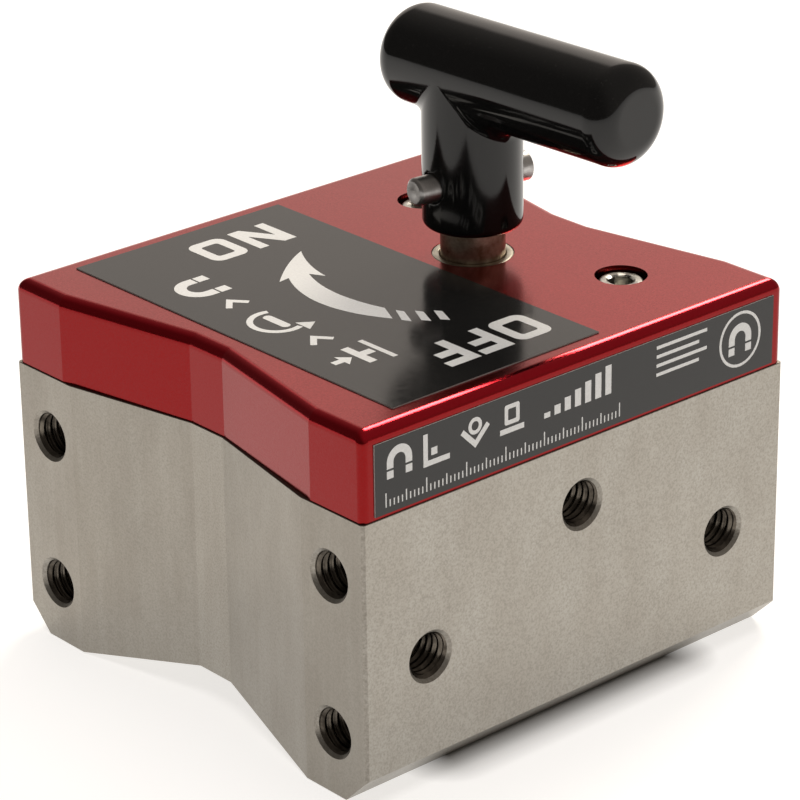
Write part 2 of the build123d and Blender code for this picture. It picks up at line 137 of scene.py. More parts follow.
# ---- print on the labels, in millimetres ----
INK_T = 0.03
LETTER_HIGH = 10.9
LETTER_LINE = 2.35
LETTER_WIDE = {"O": 9.0, "N": 9.6, "F": 7.6}
ICON_X = -32.6              # middle of the column of pictures on the top label
ICON_LINE = 1.1
RULE_MARKS = 61

# ---- camera ----
CAMERA_AT = Vector((-0.43839, -0.49853, 0.34175))
CAMERA_HEADING = math.radians(41.344)     # from +Y towards +X
CAMERA_DOWN = math.radians(23.648)
CAMERA_ROLL = math.radians(-0.780)
CAMERA_LENS = 161.02

# ---- studio ----
REFLECTOR = 0.68
FLOOR_GLOW = 0.72
FLOOR_SHADE = 11.0          # how far the painted contact shadow reaches, millimetres
FLOOR_HALF = 4.0            # metres
FLOOR_GAP = 0.0002          # metres below the object
WARM = (1.0, 0.975, 0.945)
KEY_COLOUR = (1.0, 0.91, 0.78)
KEY_RADIANCE = 17.0
OVERHEAD_RADIANCE = 2.0
SURROUND_COLOUR = (1.0, 0.90, 0.81)
LIGHTS_AIM = (0, 0, 0.05)

# ---- tones of the steel block, and the stretch of machining lines ----
EVEN_LINES = (1, 1, 1)
STEEL_DARK = (0.375, 0.352, 0.312)
STEEL_LIGHT = (0.425, 0.405, 0.365)
STEEL_STAIN = (0.335, 0.300, 0.255)
# painted shade for the block's end faces
STEEL_END_SHADE = (0.215, 0.188, 0.155)
STEEL_GRAIN = (0.240, 0.222, 0.190)
STEEL_CORNER = (0.120, 0.100, 0.080)


# ---- materials ----
class Finish:
    """One material: a Principled shader, and short calls for the nodes that vary it, in millimetres."""

    def __init__(self, name, colour, roughness, metallic=0.0, **sockets):
        self.material = bpy.data.materials.new(name)
        self.material.use_nodes = True
        self.tree = self.material.node_tree
        self.shader = self.tree.nodes["Principled BSDF"]
        self.set("Base Color", (*colour, 1.0))
        self.set("Roughness", roughness)
        self.set("Metallic", metallic)
        for socket, value in sockets.items():
            self.set(socket.replace("_", " "), value)
        self.material.diffuse_color = (*colour, 1.0)

    def set(self, socket, value):
        self.shader.inputs[socket].default_value = value

    def drive(self, socket, output):
        self.tree.links.new(output, self.shader.inputs[socket])

    def node(self, kind, values=(), **settings):
        made = self.tree.nodes.new("ShaderNode" + kind)
        for key, value in settings.items():
            setattr(made, key, value)
        for key, value in dict(values).items():
            if isinstance(value, bpy.types.NodeSocket):
                self.tree.links.new(value, made.inputs[key])
            else:
                made.inputs[key].default_value = value
        return made

    def maths(self, operation, first, second):
        return self.node("Math", {0: first, 1: second}, operation=operation).outputs[0]

    def place(self, stretch=(1, 1, 1)):
        """Coordinates of the surface in millimetres, stretched along the axes."""
        coordinates = self.node("TexCoord").outputs["Object"]
        scale = tuple(1 / (MM * s) for s in stretch)
        return self.node("Mapping", {"Vector": coordinates, "Scale": scale}).outputs[0]

    def facing(self):
        """How squarely the surface faces along X, Y and Z, each from 0 to 1 whatever its sign."""
        normal = self.node("TexCoord").outputs["Normal"]
        parts = self.node("SeparateXYZ", {"Vector": normal}).outputs
        return [self.maths("ABSOLUTE", part, 0.0) for part in parts]

    def noise(self, size, detail=2.0, rough=0.5, stretch=(1, 1, 1)):
        """Noise with features of about this size, from 0 to 1."""
        values = {"Vector": self.place(stretch), "Scale": 1 / size, "Detail": detail, "Roughness": rough}
        return self.node("TexNoise", values).outputs[0]

    def spread(self, value, low, high, start=0.3, end=0.7):
        """Maps start..end onto low..high."""
        values = {"Value": value, "From Min": start, "From Max": end, "To Min": low, "To Max": high}
        return self.node("MapRange", values).outputs[0]

    def blend(self, share, first, second):
        """Colour between two, each a tuple or a node's output."""
        first, second = [(*c, 1.0) if isinstance(c, tuple) else c for c in (first, second)]
        return self.node("Mix", {0: share, 6: first, 7: second}, data_type="RGBA").outputs[2]

    def bump(self, height, depth, below=None):
        """Relief of this depth in millimetres, on top of an earlier one."""
        values = {"Height": height, "Distance": depth * MM, "Strength": 1.0}
        if below is not None:
            values["Normal"] = below
        return self.node("Bump", values).outputs[0]


def shade(*levels):
    """A colour from three 0-255 screen values, as the shader wants it."""
    return tuple(((v / 255 + 0.055) / 1.055) ** 2.4 if v > 10 else v / 255 / 12.92 for v in levels)


def housing_steel():
    """Ground and blasted steel. The ends carry painted shade, deepest on the front flat and lightest at the
    V's root; the small corner bevels are darker.
    """
    f = Finish("housing_steel", shade(170, 164, 154), 0.42, 1.0)
    x, y = f.facing()[:2]
    ends = f.spread(x, 0, 1, 0.80, 0.95)
    sides = f.spread(y, 0, 1, 0.80, 0.95)
    depth = f.node("SeparateXYZ", {"Vector": f.place()}).outputs[1]
    # share of painted shade on the end faces: more on the front flat, less at the V's root
    front_flat = f.spread(depth, 0.14, 0, -37.0, -34.5)
    root = f.spread(f.maths("ABSOLUTE", depth, 0.0), -0.22, 0, 4.3, 5.4)
    end_shade = f.maths("ADD", f.maths("ADD", front_flat, root), 0.36)
    corners = f.spread(f.maths("MULTIPLY", x, y), 0, 1, 0.35, 0.45)
    clouds = f.noise(26, 3.0, 0.55)
    stains = f.noise(9, 4.0, 0.6, (1, 1, 2.6))
    grain = f.noise(0.42, 2.0, 0.6)
    lines = f.noise(0.55, 2.0, 0.6, (9, 1, 1))
    upright = f.noise(2.6, 2.0, 0.5, (1, 1, 14))
    base = f.blend(f.spread(clouds, 0, 1), STEEL_DARK, STEEL_LIGHT)
    base = f.blend(f.spread(stains, 0, 0.45, 0.35, 0.75), base, STEEL_STAIN)
    # painted shade: the end faces darkened by that share
    base = f.blend(f.maths("MULTIPLY", ends, end_shade), base, STEEL_END_SHADE)
    streaks = f.maths("MULTIPLY", f.spread(upright, 0, 0.22, 0.4, 0.75), ends)
    base = f.blend(streaks, base, STEEL_LIGHT)
    base = f.blend(f.spread(grain, 0, 0.60, 0.40, 0.70), base, STEEL_GRAIN)
    specks = f.spread(f.noise(0.8, 3.0, 0.7), 0.12, 0.45, 0.35, 0.65)
    base = f.blend(f.maths("MULTIPLY", corners, specks), base, STEEL_CORNER)
    f.drive("Base Color", base)
    f.drive("Roughness", f.spread(f.maths("ADD", clouds, stains), 0.36, 0.46, 0.7, 1.3))
    relief = f.bump(grain, 0.018)
    relief = f.bump(f.maths("MULTIPLY", lines, sides), 0.008, relief)
    f.drive("Normal", relief)
    return f.material


def red_anodised():
    """Clear red anodising over fine bead blasting. The rounded edges are painted a brighter red as a
    highlight, and the upright walls a darker red as shade.
    """
    f = Finish("red_anodised", (0.28, 0.001, 0.002), 0.20, 1.0, Coat_Weight=0.30, Coat_Roughness=0.12)
    z = f.facing()[2]
    rounds = f.maths("MULTIPLY", f.spread(z, 0, 1, 0.15, 0.50), f.spread(z, 1, 0, 0.975, 0.995))
    walls = f.spread(z, 1, 0, 0.15, 0.50)
    grain = f.noise(0.40, 2.0, 0.7)
    drift = f.noise(30, 2.0, 0.5)
    tone = f.blend(f.spread(drift, 0, 1), (0.335, 0.001, 0.002), (0.365, 0.0015, 0.003))
    # painted shade: the upright walls a darker red
    tone = f.blend(f.spread(walls, 0, 0.85, 0, 1), tone, (0.180, 0.0005, 0.001))
    tone = f.blend(f.spread(grain, 0, 0.60, 0.35, 0.65), tone, (0.22, 0.0004, 0.0008))
    # painted highlight: the rounded edges a brighter red; their lower roughness below is a smoother finish
    tone = f.blend(f.spread(rounds, 0, 0.7, 0, 1), tone, (0.62, 0.003, 0.020))
    f.drive("Base Color", tone)
    f.drive("Coat Weight", f.spread(grain, 0.36, 0.24, 0.35, 0.65))
    f.drive("Roughness", f.spread(rounds, 0.22, 0.16, 0, 1))
    blasting = f.bump(grain, 0.0100)
    f.drive("Normal", blasting)
    f.drive("Coat Normal", blasting)
    return f.material


def label_film(name, way):
    """Black laminated film with a faint orange peel; its cut edges, not facing this way, are greyer."""
    f = Finish(name, (0.012, 0.012, 0.012), 0.14, 0.0, Specular_IOR_Level=0.42)
    cut = f.spread(f.facing()[way], 1, 0, 0.4, 0.8)
    peel = f.noise(1.6, 2.0, 0.5)
    dust = f.noise(0.35, 2.0, 0.6)
    base = f.blend(f.spread(dust, 0, 1), (0.009, 0.009, 0.009), (0.016, 0.0155, 0.015))
    f.drive("Base Color", f.blend(cut, base, (0.50, 0.49, 0.47)))
    f.drive("Roughness", f.spread(peel, 0.12, 0.17))
    f.drive("Normal", f.bump(peel, 0.0012))
    return f.material


def label_ink():
    """White screen print."""
    f = Finish("label_ink", (0.74, 0.74, 0.73), 0.35, 0.0)
    dust = f.noise(0.5, 2.0, 0.6)
    f.drive("Base Color", f.blend(f.spread(dust, 0, 1), (0.70, 0.70, 0.69), (0.78, 0.78, 0.77)))
    f.drive("Normal", f.bump(dust, 0.002))
    return f.material


def dipped_vinyl():
    """Glossy black dip: low waves from the dipping and a few specks of dust."""
    f = Finish("dipped_vinyl", (0.004, 0.004, 0.004), 0.09, 0.0, Specular_IOR_Level=0.40)
    waves = f.noise(9, 1.0, 0.4)
    specks = f.noise(0.5, 2.0, 0.7)
    dust = f.spread(specks, 0, 1, 0.62, 0.8)
    f.drive("Base Color", f.blend(dust, (0.004, 0.004, 0.004), (0.02, 0.019, 0.018)))
    f.drive("Roughness", f.spread(waves, 0.07, 0.12))
    f.drive("Normal", f.bump(specks, 0.0016, f.bump(waves, 0.035)))
    return f.material


def turned_metal(name, light, dark, roughness, ring_stretch, ring_depth=0.004, stain=0.4):
    """Machined metal: lines along one direction, and stains between two tones."""
    f = Finish(name, light, roughness, 1.0)
    rings = f.noise(0.5, 2.0, 0.6, ring_stretch)
    patches = f.noise(3.5, 3.0, 0.6)
    tone = f.blend(f.spread(patches, 0, stain), light, dark)
    tone = f.blend(f.spread(rings, 0, 0.25), tone, dark)
    f.drive("Base Color", tone)
    f.drive("Roughness", f.spread(patches, roughness - 0.05, roughness + 0.06))
    f.drive("Normal", f.bump(rings, ring_depth))
    return f.material


def plated_magnet():
    """Nickel plating with a soft mottle."""
    f = Finish("plated_magnet", (0.66, 0.65, 0.61), 0.22, 1.0)
    mottle = f.noise(2.0, 3.0, 0.6)
    f.drive("Base Color", f.blend(f.spread(mottle, 0, 1), (0.60, 0.58, 0.54), (0.70, 0.69, 0.66)))
    f.drive("Roughness", f.spread(mottle, 0.18, 0.30))
    f.drive("Normal", f.bump(mottle, 0.004))
    return f.material


def moulded(name, colour, other, roughness, grain_size):
    """Rubber or plastic with a fine moulded grain."""
    f = Finish(name, colour, roughness, 0.0)
    grain = f.noise(grain_size, 3.0, 0.6)
    f.drive("Base Color", f.blend(f.spread(grain, 0, 1), colour, other))
    f.drive("Roughness", f.spread(grain, roughness - 0.06, roughness + 0.06))
    f.drive("Normal", f.bump(grain, 0.006))
    return f.material


def studio_floor():
    """Pale paper that glows evenly, with a painted contact shadow where the glow fades out round the object's
    foot.
    """
    f = Finish("studio_floor", (0.50, 0.50, 0.50), 0.9, 0.0)
    f.set("Emission Color", (*WARM, 1.0))
    f.set("Specular IOR Level", 0.0)
    paper = f.noise(40, 3.0, 0.5)
    f.drive("Base Color", f.blend(f.spread(paper, 0, 1), (0.495, 0.495, 0.495), (0.505, 0.505, 0.505)))
    spot = f.node("SeparateXYZ", {"Vector": f.place()}).outputs
    gaps = []
    for axis, inset in ((0, 26.0), (1, 6.0)):
        beyond = f.maths("SUBTRACT", f.maths("ABSOLUTE", spot[axis], 0.0), HOUSING_HIGH[axis] / MM - inset)
        gaps.append(f.maths("MAXIMUM", beyond, 0.0))
    squares = f.maths("ADD", f.maths("MULTIPLY", gaps[0], gaps[0]), f.maths("MULTIPLY", gaps[1], gaps[1]))
    gap = f.maths("SQRT", squares, 0.0)
    # painted contact shadow: the glow fades to nothing near the foot
    f.drive("Emission Strength", f.spread(gap, 0.0, FLOOR_GLOW, 0.0, FLOOR_SHADE))
    return f.material


# ---- mesh helpers ----
def new_piece(name, mesh, body, material):
    piece = bpy.data.objects.new(name, mesh)
    bpy.context.scene.collection.objects.link(piece)
    mesh.materials.clear()
    mesh.materials.append(material)
    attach(piece, body)
    return piece


def mesh_from(name, vertices, faces):
    mesh = bpy.data.meshes.new(name)
    mesh.from_pydata(vertices, [], faces)
    mesh.update()
    return mesh


def tidy_mesh(mesh, weld, sharp_degrees):
    """Welds, drops flattened faces, turns normals outwards and marks edges sharper than the angle."""
    work = bmesh.new()
    work.from_mesh(mesh)
    bmesh.ops.remove_doubles(work, verts=work.verts, dist=weld)
    bmesh.ops.dissolve_degenerate(work, edges=work.edges, dist=weld)
    bmesh.ops.recalc_face_normals(work, faces=work.faces)
    work.to_mesh(mesh)
    work.free()
    mesh.shade_smooth()
    mesh.set_sharp_from_angle(angle=math.radians(sharp_degrees))


def bands(rings, sides, start=0, closed=False):
    """Four-cornered faces between neighbouring rings of vertices; closed joins the last ring to the first."""
    faces = []
    for ring in range(rings if closed else rings - 1):
        low = start + ring * sides
        high = start + (ring + 1) % rings * sides
        for side in range(sides):
            after = (side + 1) % sides
            faces.append([low + side, low + after, high + after, high + side])
    return faces


# ---- threads in the tapped holes ----
THREAD_PROFILE = (
    (0.03, 0.0), (0.125, 0.0), (0.22, 0.0), (0.28, 0.08), (0.41, 0.5), (0.53, 0.92),
    (0.59, 1.0), (0.66, 1.0), (0.72, 0.92), (0.84, 0.5), (0.97, 0.08),
)   # (share of the pitch, share of the way from crest to root)


def thread_sleeve(mouth, outward):
    """Vertices and faces of one helical sleeve from a hole's mouth inwards, and the rings that close it."""
    across = Vector((0, 0, 1)).cross(outward).normalized()
    up = outward.cross(across)
    rows = len(THREAD_PROFILE)
    turns = int((THREAD_END - THREAD_START) / THREAD_PITCH) + 3
    first = THREAD_START - THREAD_PITCH
    points = []
    for row in range(turns * rows):
        share, fall = THREAD_PROFILE[row % rows]
        for side in range(THREAD_SIDES):
            angle = 2 * math.pi * side / THREAD_SIDES
            depth = first + THREAD_PITCH * (row // rows + share - side / THREAD_SIDES)
            radius = THREAD_CREST_R + fall * (THREAD_ROOT_R - THREAD_CREST_R)
            radius = max(radius, MOUTH_R - depth)
            if not THREAD_START < depth < THREAD_END:
                depth = min(max(depth, THREAD_START), THREAD_END)
                radius = THREAD_WALL_R
            radius = min(radius, THREAD_WALL_R)
            spoke = across * math.cos(angle) + up * math.sin(angle)
            points.append(mouth + spoke * radius * MM - outward * depth * MM)
    faces = []
    last = turns * rows - 1
    for row in range(rows, last):
        for side in range(THREAD_SIDES):
            if side < THREAD_SIDES - 1:
                ring = [(row, side), (row, side + 1), (row + 1, side + 1), (row + 1, side)]
            else:
                ring = [(row, side), (row - rows, 0), (row + 1 - rows, 0), (row + 1, side)]
            faces.append([r * THREAD_SIDES + s for r, s in ring])
    return points, faces, wall_rings(mouth, outward, across, up)


def wall_rings(mouth, outward, across, up):
    """The two rings on the hole's wall where the sleeve ends."""
    rings = []
    for depth in (THREAD_START, THREAD_END):
        for side in range(THREAD_SIDES):
            angle = 2 * math.pi * side / THREAD_SIDES
            spoke = across * math.cos(angle) + up * math.sin(angle)
            rings.append(mouth + spoke * THREAD_WALL_R * MM - outward * depth * MM)
    return rings


def threads(name, prefix, material):
    """Threads of every hole whose mount's name starts with the prefix, as one piece."""
    vertices, faces = [], []
    for mount in MOUNTS:
        if mount["kind"] != "threaded_hole" or not mount["name"].startswith(prefix):
            continue
        outward = Vector(mount["axis"])
        mouth = Vector(mount["pos_m"])
        reach = max(abs(HOUSING_HIGH.dot(outward)), abs(HOUSING_LOW.dot(outward)))
        mouth += outward * (reach - mouth.dot(outward))
        points, quads, rings = thread_sleeve(mouth, outward)
        start = len(vertices)
        vertices += points
        faces += [[start + i for i in quad] for quad in quads]
        faces += bands(2, THREAD_SIDES, len(vertices))
        vertices += rings
    mesh = mesh_from(name, vertices, faces)
    tidy_mesh(mesh, 0.002 * MM, 50)
    return new_piece(name, mesh, "body", material)


# ---- bush, return spring, taper pin and cap screws ----
def turned(name, profile, start, along, sides=96):
    """Closed round solid from (distance along the axis, radius) in millimetres, both ends on the axis."""
    along = Vector(along).normalized()
    across = along.orthogonal().normalized()
    up = along.cross(across)
    points, faces = [], []
    for distance, radius in profile[1:-1]:
        for side in range(sides):
            angle = 2 * math.pi * side / sides
            spoke = across * math.cos(angle) + up * math.sin(angle)
            points.append(start + (along * distance + spoke * radius) * MM)
    rings = len(profile) - 2
    faces += bands(rings, sides)
    for centre, ring in ((profile[0], 0), (profile[-1], rings - 1)):
        points.append(start + along * centre[0] * MM)
        for side in range(sides):
            faces.append([len(points) - 1, ring * sides + side, ring * sides + (side + 1) % sides])
    mesh = mesh_from(name, points, faces)
    tidy_mesh(mesh, 0.001 * MM, 28)
    return mesh


def bush_ring(material):
    """The shaft's bush with its edges broken, so that the joint round it shows."""
    outer = (BUSH_HIGH.x - BUSH_LOW.x) / 2 / MM
    inner = SHAFT_RADIUS / MM + BUSH_GAP
    top, bottom = BUSH_HIGH.z / MM, BUSH_LOW.z / MM
    outline = [
        (bottom, inner), (bottom, outer - 0.05), (top - 0.34, outer - 0.05),
        (top - 0.14, outer - 0.12), (top - 0.04, outer - 0.24), (top, outer - 0.40),
        (top, inner + 0.42), (top - 0.08, inner + 0.2), (top - 0.30, inner + 0.02),
    ]   # (height, radius)
    sides = BUSH_SIDES
    points = []
    for height, radius in outline:
        for side in range(sides):
            angle = 2 * math.pi * side / sides
            x = SHAFT_AXIS.x + radius * math.cos(angle) * MM
            y = SHAFT_AXIS.y + radius * math.sin(angle) * MM
            points.append((x, y, height * MM))
    mesh = mesh_from("bush_ring", points, bands(len(outline), sides, closed=True))
    tidy_mesh(mesh, 0.001 * MM, 28)
    piece = new_piece("bush_ring", mesh, "body", material)
    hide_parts("shaft_bush")


def return_coil(material):
    """The coil spring under the shaft, built at its rest length; it does not shorten when the handle is
    pushed.
    """
    length = (SPRING_HIGH.z - SPRING_LOW.z) / MM
    radius = (SPRING_HIGH.x - SPRING_LOW.x) / 2 / MM - SPRING_WIRE_R
    rise = length - 2 * SPRING_WIRE_R
    steps, sides = int(SPRING_TURNS * SPRING_STEPS), SPRING_SIDES
    anchor = (SHAFT_AXIS.x, SHAFT_AXIS.y, SPRING_LOW.z)
    points = []
    for step in range(steps + 1):
        angle = 2 * math.pi * SPRING_TURNS * step / steps
        height = SPRING_WIRE_R + rise * step / steps
        outwards = Vector((math.cos(angle), math.sin(angle), 0))
        for side in range(sides):
            round_angle = 2 * math.pi * side / sides
            place = outwards * (radius + SPRING_WIRE_R * math.cos(round_angle))
            place.z = height + SPRING_WIRE_R * math.sin(round_angle)
            points.append(Vector(anchor) + place * MM)
    faces = bands(steps + 1, sides)
    faces.append(list(range(sides)))
    faces.append([steps * sides + side for side in range(sides)])
    mesh = mesh_from("return_coil", points, faces)
    tidy_mesh(mesh, 0.001 * MM, 40)
    piece = new_piece("return_coil", mesh, "drive_rotor", material)
    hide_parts("return_spring")
    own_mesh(piece)


def cross_pin(material):
    """The taper pin, its ends rounded over and slightly hollow in the middle."""
    left, right = -CROSS_PIN_LEFT, CROSS_PIN_RIGHT
    large = CROSS_PIN_R
    small = large - (right - left) * CROSS_PIN_TAPER
    profile = [
        (left + 0.06, 0), (left + 0.05, 0.8), (left, 1.0), (left, small - 0.62),
        (left + 0.05, small - 0.55), (left + 0.50, small - 0.06), (left + 0.62, small),
        (right - 0.34, large - 0.01), (right - 0.26, large - 0.04), (right - 0.04, large - 0.27),
        (right, large - 0.34), (right, 1.0), (right - 0.05, 0.8), (right - 0.06, 0),
    ]
    start = Vector((SHAFT_AXIS.x, SHAFT_AXIS.y, PIN_LEVEL))
    mesh = turned("cross_pin", profile, start, PIN_WAY)
    piece = new_piece("cross_pin", mesh, "handle", material)
    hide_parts("handle_pin")


def screw_rings(length):
    """Rings of a cap screw from its tip to the socket's floor: (height from the top, radius, kind)."""
    r, shank, seat = SCREW_HEAD_R, SCREW_SHANK_R, -SCREW_HEAD_H
    rings = [
        (-length, 0.01, "round"), (-length, shank - 0.6, "round"), (-length + 0.6, shank, "round"),
        (seat, shank, "round"), (seat, r - 0.25, "round"), (seat + 0.25, r, "knurl"),
        (-0.95, r, "knurl"), (-0.80, r - 0.12, "round"),
    ]
    for step in range(6):
        angle = math.pi / 2 * step / 5
        rings.append((-0.62 + 0.62 * math.sin(angle), r - 0.74 + 0.62 * math.cos(angle), "round"))
    half = SCREW_SOCKET / 2
    rings += [
        (0.0, half * 1.23, "round"), (-0.30, half, "hex"), (-2.9, half, "hex"),
        (-2.95, half * 0.9, "round"), (-3.6, 0.01, "round"),
    ]
    return rings


def screw_radius(kind, side, radius):
    """How far one vertex of a ring lies from the screw's axis."""
    if kind == "hex":
        angle = 2 * math.pi * side / SCREW_SIDES
        return radius / math.cos((angle + math.pi / 6) % (math.pi / 3) - math.pi / 6)
    if kind == "knurl" and side % 3 == 0:
        return radius - 0.14
    return radius


def cap_screws(material):
    """All socket head cap screws of the cover as one piece: knurled, rounded over, with hexagon sockets."""
    rings = screw_rings((SCREWS_HIGH.z - SCREWS_LOW.z) / MM)
    reach_x = SCREWS_HIGH.x - SCREW_PLACE_INSET * MM
    reach_y = SCREWS_HIGH.y - SCREW_PLACE_INSET * MM
    vertices, faces = [], []
    for side_x, side_y, turn in SCREW_TURNS:
        start = len(vertices)
        for level, radius, kind in rings:
            for side in range(SCREW_SIDES):
                angle = 2 * math.pi * side / SCREW_SIDES + turn
                out = screw_radius(kind, side, radius) * MM
                x = side_x * reach_x + out * math.cos(angle)
                y = side_y * reach_y + out * math.sin(angle)
                vertices.append((x, y, SCREWS_HIGH.z + level * MM))
        faces += bands(len(rings), SCREW_SIDES, start)
        for ring in (0, len(rings) - 1):
            faces.append([start + ring * SCREW_SIDES + side for side in range(SCREW_SIDES)])
    mesh = mesh_from("cap_screws", vertices, faces)
    tidy_mesh(mesh, 0.0005 * MM, 32)
    piece = new_piece("cap_screws", mesh, "body", material)
    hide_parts("cover_screws")


# ---- dipped skin of the T-handle ----
def rod(name, radius, start, end):
    """Plain closed rod between two points in millimetres, used only as raw volume for the skin."""
    axis = Vector(end) - Vector(start)
    turn = axis.to_track_quat("Z", "Y").to_matrix().to_4x4()
    centre = Matrix.Translation((Vector(start) + Vector(end)) / 2)
    work = bmesh.new()
    bmesh.ops.create_cone(work, cap_ends=True, segments=96, radius1=radius, radius2=radius,
                          depth=axis.length, matrix=centre @ turn)
    mesh = bpy.data.meshes.new(name)
    work.to_mesh(mesh)
    work.free()
    made = bpy.data.objects.new(name, mesh)
    bpy.context.scene.collection.objects.link(made)
    return made


class HandleShape:
    """Distance to the dipped skin, in millimetres, with the shaft's axis as the Z axis."""

    def __init__(self):
        offset = Vector((SHAFT_AXIS.x, SHAFT_AXIS.y, 0))
        low, high = (GRIP_LOW - offset) / MM, (GRIP_HIGH - offset) / MM
        self.grip_z = high.z - GRIP_R
        self.stem_z = low.z
        self.along = np.array([math.sin(GRIP_SKEW), -math.cos(GRIP_SKEW), 0.0])
        lean = (GRIP_R - GRIP_END_ROUND) * math.sin(GRIP_SKEW) + GRIP_END_ROUND * (1 - math.cos(GRIP_SKEW))
        self.front = (-low.y - lean) / math.cos(GRIP_SKEW)
        self.back = (high.y - lean) / math.cos(GRIP_SKEW)
        self.pin_z = PIN_LEVEL / MM
        self.bore_r = SHAFT_RADIUS / MM + STEM_BORE_GAP

    @staticmethod
    def rounded_rod(along, across, half, radius, rounding):
        """Distance to a rod with rounded ends, from the place along it and across it."""
        a = np.abs(along) - (half - rounding)
        b = across - (radius - rounding)
        outside = np.hypot(np.maximum(a, 0), np.maximum(b, 0))
        return outside + np.minimum(np.maximum(a, b), 0) - rounding

    def bar(self, p):
        s = p @ self.along
        rest = p - s[:, None] * self.along
        across = np.hypot(np.hypot(rest[:, 0], rest[:, 1]), rest[:, 2] - self.grip_z)
        middle, half = (self.front - self.back) / 2, (self.front + self.back) / 2
        return self.rounded_rod(s - middle, across, half, GRIP_R, GRIP_END_ROUND)

    def stem(self, p):
        across = np.hypot(p[:, 0], p[:, 1])
        half = (self.grip_z - self.stem_z) / 2
        return self.rounded_rod(p[:, 2] - self.stem_z - half, across, half, STEM_R, STEM_ROUND)

    @staticmethod
    def slope(distance, p, step=0.01):
        """The way in which a distance grows at each point, as unit vectors."""
        shifts = np.eye(3) * step
        made = np.stack([distance(p + s) - distance(p - s) for s in shifts], axis=1) / (2 * step)
        return made / np.maximum(np.linalg.norm(made, axis=1, keepdims=True), 1e-9)

    def skin(self, p):
        """Distance to bar and stem bridged together, less the pin's recesses and the shaft's bore."""
        bar, stem = self.bar(p), self.stem(p)
        facing = (self.slope(self.bar, p) * self.slope(self.stem, p)).sum(axis=1)
        width = JOINT_BLEND * np.clip(1 - facing, 0, 1) + 1e-6
        share = np.maximum(width - np.abs(bar - stem), 0) / width
        body = np.minimum(bar, stem) - share * share * width / 4
        along = p @ np.array(PIN_WAY)
        across = np.hypot(p[:, 0] * PIN_WAY.y - p[:, 1] * PIN_WAY.x, p[:, 2] - self.pin_z)
        pin = CROSS_PIN_R - (CROSS_PIN_RIGHT - along) * CROSS_PIN_TAPER
        recess = np.maximum(across - pin - CROSS_PIN_GAP, STEM_R - SKIN_T - np.abs(along))
        bore = np.maximum(np.hypot(p[:, 0], p[:, 1]) - self.bore_r, p[:, 2] - self.stem_z - STEM_BORE_DEPTH)
        return self.carve(self.carve(body, recess, PIN_RECESS_ROUND), bore, STEM_BORE_ROUND)

    @staticmethod
    def carve(body, cutter, width):
        """Takes a cutter away from a body, rounding the edge over this width."""
        share = np.maximum(width - np.abs(body + cutter), 0) / width
        return np.maximum(body, -cutter) + share * share * width / 4


def handle_skin(material):
    """The dipped skin as one piece: rods joined and cut, remeshed evenly and settled on the exact shape."""
    shape = HandleShape()
    along = Vector(shape.along)
    grip = Vector((0, 0, shape.grip_z))
    blank = rod("handle_blank", GRIP_R, grip - along * shape.back, grip + along * shape.front)
    stem = rod("handle_stem", STEM_R, (0, 0, shape.stem_z), grip)
    reach = PIN_WAY * (STEM_R + 3)
    floor = PIN_WAY * (STEM_R - SKIN_T)
    level = Vector((0, 0, shape.pin_z))
    small = CROSS_PIN_R - (CROSS_PIN_RIGHT + STEM_R) * CROSS_PIN_TAPER + CROSS_PIN_GAP
    right = rod("handle_right", CROSS_PIN_R + CROSS_PIN_GAP, level + floor, level + reach)
    left = rod("handle_left", small, level - floor, level - reach)
    bore_top = (0, 0, shape.stem_z + STEM_BORE_DEPTH)
    bore = rod("handle_bore", shape.bore_r, (0, 0, shape.stem_z - 2), bore_top)
    cuts = ((right, "DIFFERENCE"), (left, "DIFFERENCE"), (bore, "DIFFERENCE"))
    for tool, operation in ((stem, "UNION"), *cuts):
        step = blank.modifiers.new(tool.name, "BOOLEAN")
        step.object = tool
        step.operation = operation
        step.solver = "EXACT"
    remesh = blank.modifiers.new("even", "REMESH")
    remesh.mode = "VOXEL"
    remesh.voxel_size = SKIN_VOXEL
    bpy.context.view_layer.update()
    evaluated = blank.evaluated_get(bpy.context.evaluated_depsgraph_get())
    mesh = bpy.data.meshes.new_from_object(evaluated)
    mesh.name = "handle_dip"
    for scrap in (blank, stem, right, left, bore):
        bpy.data.objects.remove(scrap)
    settle_on(shape, mesh)
    offset = Matrix.Translation((SHAFT_AXIS.x, SHAFT_AXIS.y, 0)) @ Matrix.Scale(MM, 4)
    mesh.transform(offset)
    piece = new_piece("handle_dip", mesh, "handle", material)
    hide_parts("handle_coating")


def settle_on(shape, mesh):
    """Moves the vertices onto the exact skin, evening them out first, and takes its slopes as normals."""
    count = len(mesh.vertices)
    points = np.empty(count * 3, np.float64)
    mesh.vertices.foreach_get("co", points)
    points = points.reshape(-1, 3)
    ends = np.empty(len(mesh.edges) * 2, np.int32)
    mesh.edges.foreach_get("vertices", ends)
    first, second = ends.reshape(-1, 2).T
    links = np.bincount(first, minlength=count) + np.bincount(second, minlength=count)
    for turn in range(14):
        if turn < 6:
            total = np.zeros_like(points)
            np.add.at(total, first, points[second])
            np.add.at(total, second, points[first])
            drift = total / links[:, None] - points
            normal = shape.slope(shape.skin, points)
            drift -= (drift * normal).sum(axis=1, keepdims=True) * normal
            points = points + 0.5 * drift
        normal = shape.slope(shape.skin, points)
        points = points - 0.9 * shape.skin(points)[:, None] * normal
    mesh.vertices.foreach_set("co", points.ravel())
    mesh.update()
    mesh.shade_smooth()
    normals = shape.slope(shape.skin, points, 0.05)
    mesh.normals_split_custom_set_from_vertices([tuple(n) for n in normals])


# ---- outlines for the printed labels, in millimetres ----
def arc(x, y, radius, start, end, steps=12):
    angles = [math.radians(start + (end - start) * k / steps) for k in range(steps + 1)]
    return [(x + radius * math.cos(a), y + radius * math.sin(a)) for a in angles]


